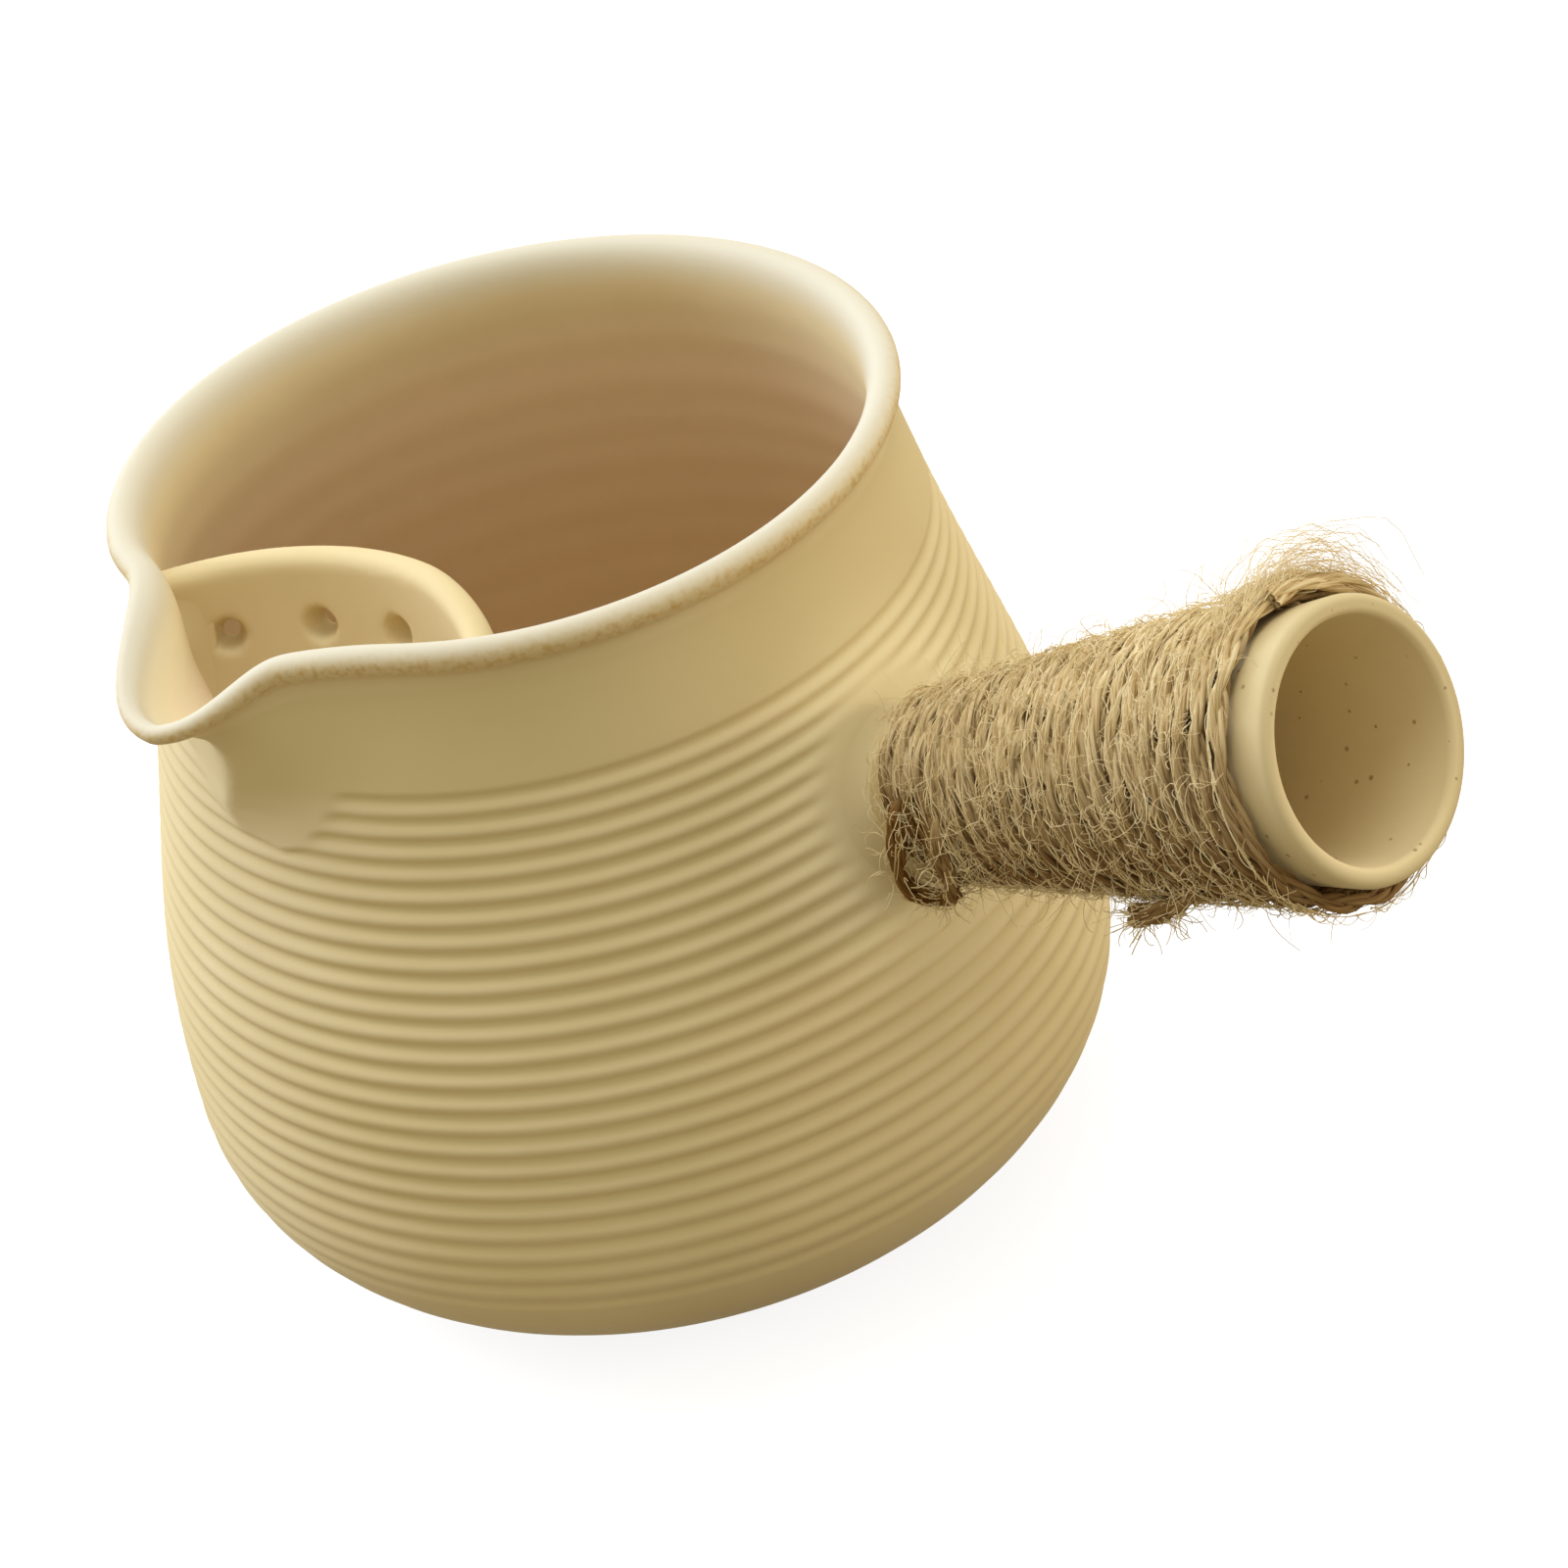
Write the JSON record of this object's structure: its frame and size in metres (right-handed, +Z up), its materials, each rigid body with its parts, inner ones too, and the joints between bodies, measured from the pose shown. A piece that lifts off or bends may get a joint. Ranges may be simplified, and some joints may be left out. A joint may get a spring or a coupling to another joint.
{
  "type": "side-handled clay teapot",
  "caption": "Ribbed clay teapot with a pulled lip, a pierced strainer wall behind it and a hollow side handle wound with jute twine, for brewing and pouring tea.",
  "frame": {"origin": "centre of the flat foot, on the surface that the pot stands on", "axes": "+Z up along the pot's axis, +X towards the handle, which tilts up from +X; the lip points along about -Y"},
  "size_m": [0.1708, 0.1081, 0.0984],
  "materials": {
    "buff_clay": "matte unglazed fired clay",
    "clay_slip": "matte smoothed slip",
    "jute_twine": "fibrous spun jute"
  },
  "bodies": {
    "root": {"pot_body": "buff_clay", "strainer": "buff_clay", "strainer_slip_bed": "clay_slip", "handle_tube": "buff_clay", "handle_slip_collar": "clay_slip", "twine_winding": "jute_twine"}
  },
  "joints": []
}
